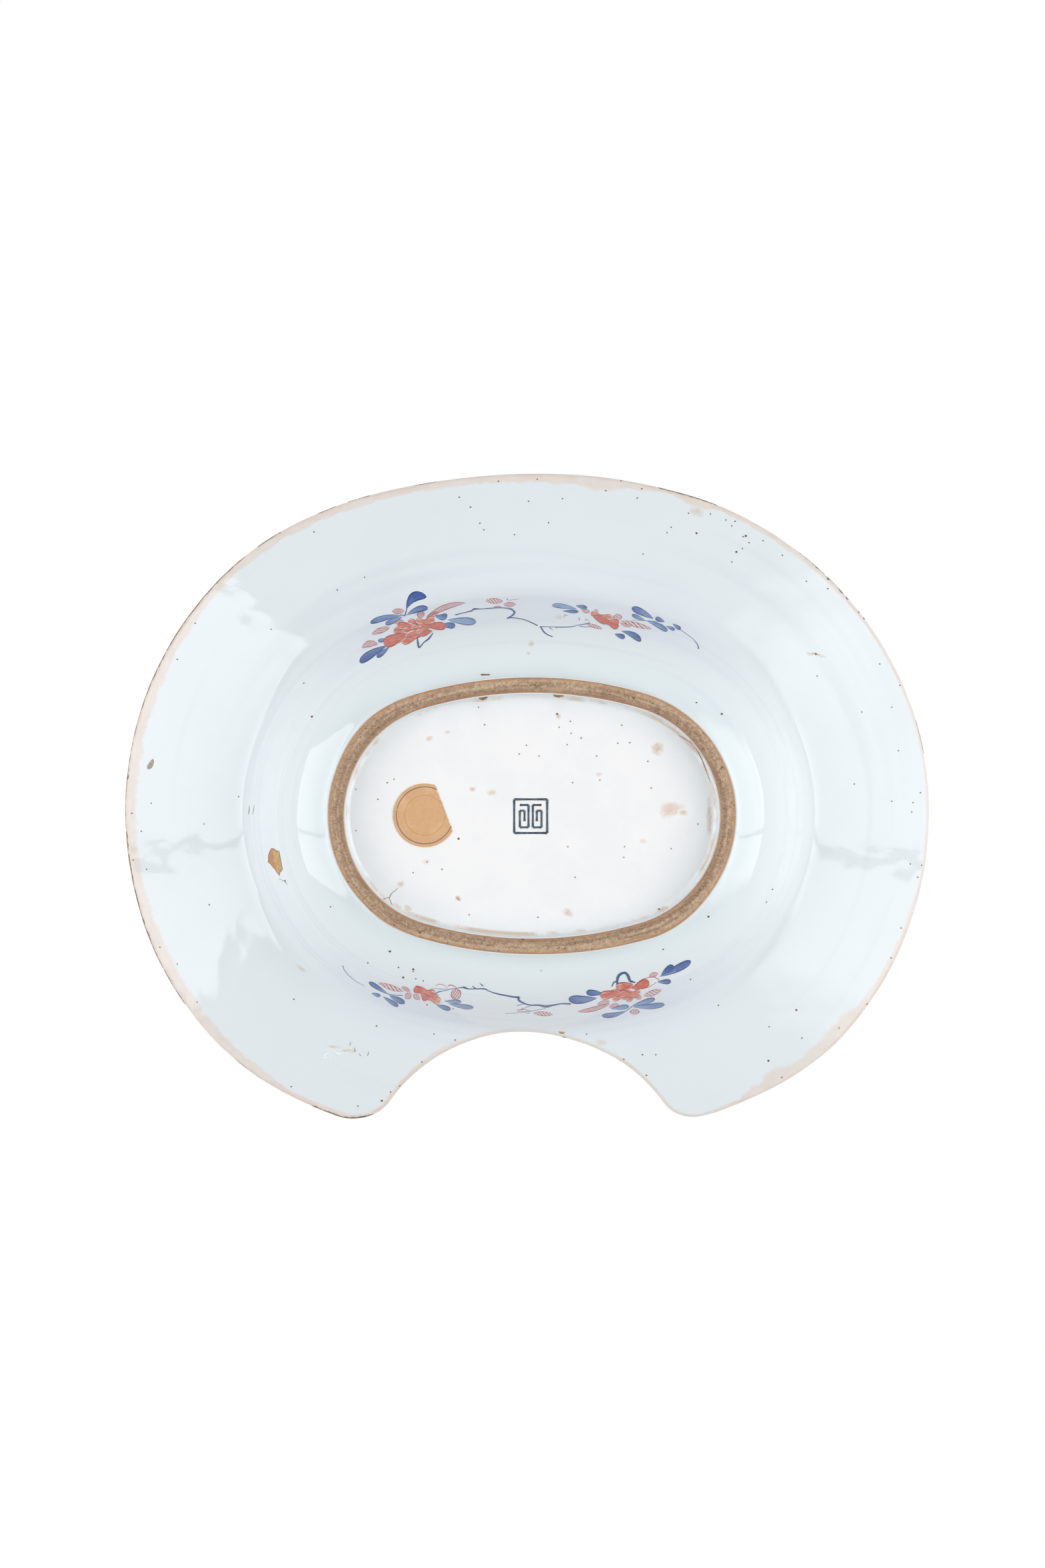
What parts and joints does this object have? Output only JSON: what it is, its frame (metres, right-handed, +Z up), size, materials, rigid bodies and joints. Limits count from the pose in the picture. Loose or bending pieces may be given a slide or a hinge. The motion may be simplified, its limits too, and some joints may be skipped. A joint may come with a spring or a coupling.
{
  "type": "barber bowl",
  "caption": "Shallow oval porcelain shaving basin with a broad sloping flange, a rounded neck cut-out in one long side and a pierced oval foot ring.",
  "frame": {"origin": "middle of the bowl's box, on the table that the foot ring stands on", "axes": "+X along the long axis, +Y away from the neck cut-out, +Z up out of the well"},
  "size_m": [0.275, 0.2218, 0.0588],
  "materials": {
    "porcelain_body": "matte",
    "toasted_body": "matte",
    "blue_white_glaze": "gloss",
    "iron_dressing": "satin",
    "label_paper": "matte"
  },
  "bodies": {
    "root": {"basin": "porcelain_body", "foot_ring": "toasted_body", "luting_slip": "porcelain_body", "outside_glaze": "blue_white_glaze", "inside_glaze": "blue_white_glaze", "base_glaze": "blue_white_glaze", "rim_dressing": "iron_dressing", "paper_label": "label_paper"}
  },
  "joints": []
}
